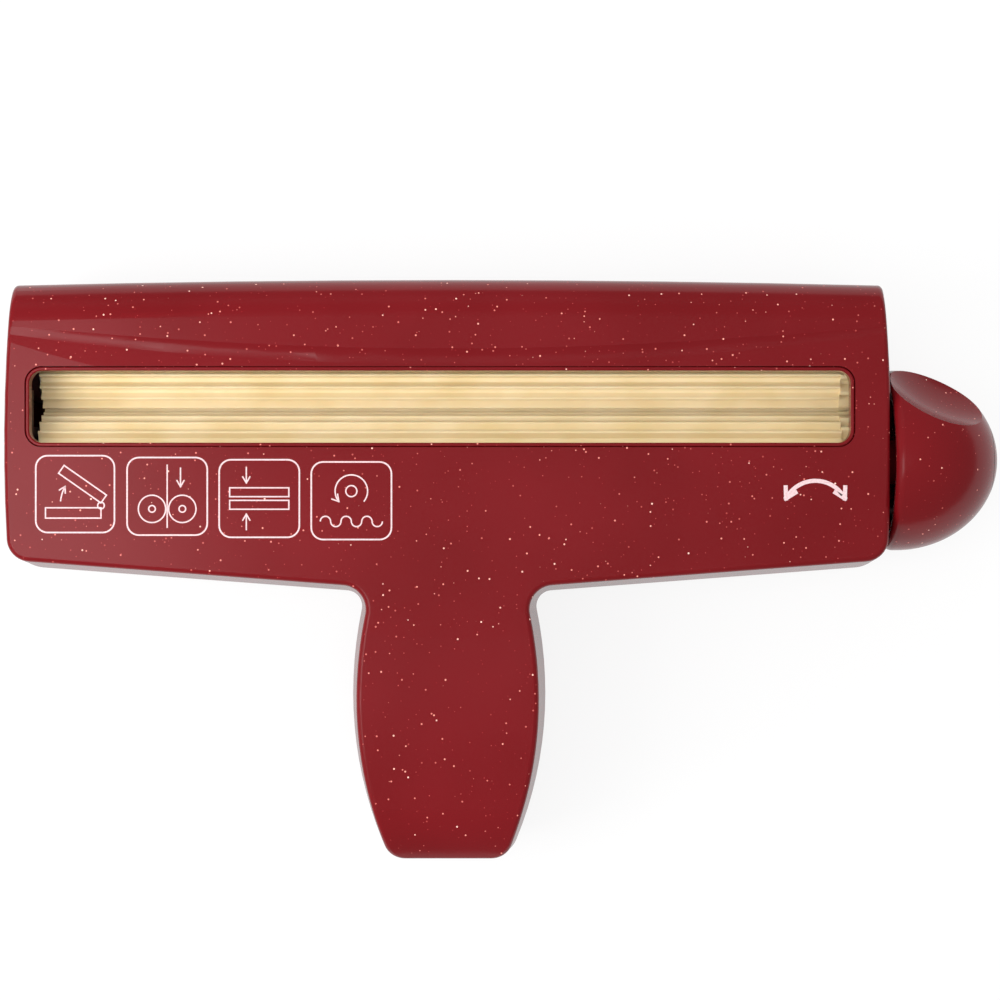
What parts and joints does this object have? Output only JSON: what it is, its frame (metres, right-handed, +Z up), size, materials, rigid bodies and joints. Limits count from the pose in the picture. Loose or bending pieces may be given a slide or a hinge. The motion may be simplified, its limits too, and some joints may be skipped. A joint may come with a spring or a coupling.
{
  "type": "paper crimper with crank",
  "caption": "Hinged T-shaped hand-cranked crimper whose meshing ridged rollers press waves into paper fed through a long window.",
  "frame": {"origin": "on the flat underside, in the middle plane of the handle, between the handle and the window", "axes": "+X along the rollers towards the crank knob, +Y towards the hinged far edge, +Z up out of the top face"},
  "size_m": [0.2746, 0.1601, 0.052],
  "materials": {
    "burgundy_abs": "glossy with fine glitter flecks",
    "ivory_abs": "satin",
    "steel": "bright zinc plated",
    "dark_abs": "matte",
    "white_acetal": "satin"
  },
  "bodies": {
    "root": {"bottom_shell": "burgundy_abs", "bottom_liner": "dark_abs", "bottom_liner_screws": "steel", "bottom_window_bezel": "burgundy_abs", "hinge_pins": "steel", "idler_bushes": "white_acetal"},
    "top_half": {"top_shell": "burgundy_abs", "top_liner": "dark_abs", "top_liner_screws": "steel", "top_window_bezel": "burgundy_abs", "drive_bushes": "white_acetal"},
    "crank": {"drive_roller": "ivory_abs", "drive_roller_plugs": "ivory_abs", "drive_shaft": "steel", "drive_gear": "ivory_abs", "drive_shaft_clip": "steel", "crank_knob": "burgundy_abs", "knob_cap": "burgundy_abs", "knob_washer": "steel", "knob_screw": "steel"},
    "idler": {"idler_roller": "ivory_abs", "idler_roller_plugs": "ivory_abs", "idler_shaft": "steel", "idler_gear": "ivory_abs", "idler_shaft_clips": "steel"}
  },
  "joints": [
    {"name": "top_half_hinge", "type": "hinge", "parent": "root", "child": "top_half", "pos_m": [0, 0.0499, 0.0365], "axis": [-1, 0, 0], "range_deg": [0, 50]},
    {"name": "crank_turn", "type": "hinge", "parent": "top_half", "child": "crank", "pos_m": [0, 0.011, 0.027], "axis": [1, 0, 0], "continuous": true},
    {"name": "idler_turn", "type": "hinge", "parent": "root", "child": "idler", "pos_m": [0, 0.0365, 0.023], "axis": [1, 0, 0], "continuous": true}
  ],
  "couplings": [
    {"joint": "idler_turn", "follows": "crank_turn", "ratio": -1}
  ]
}
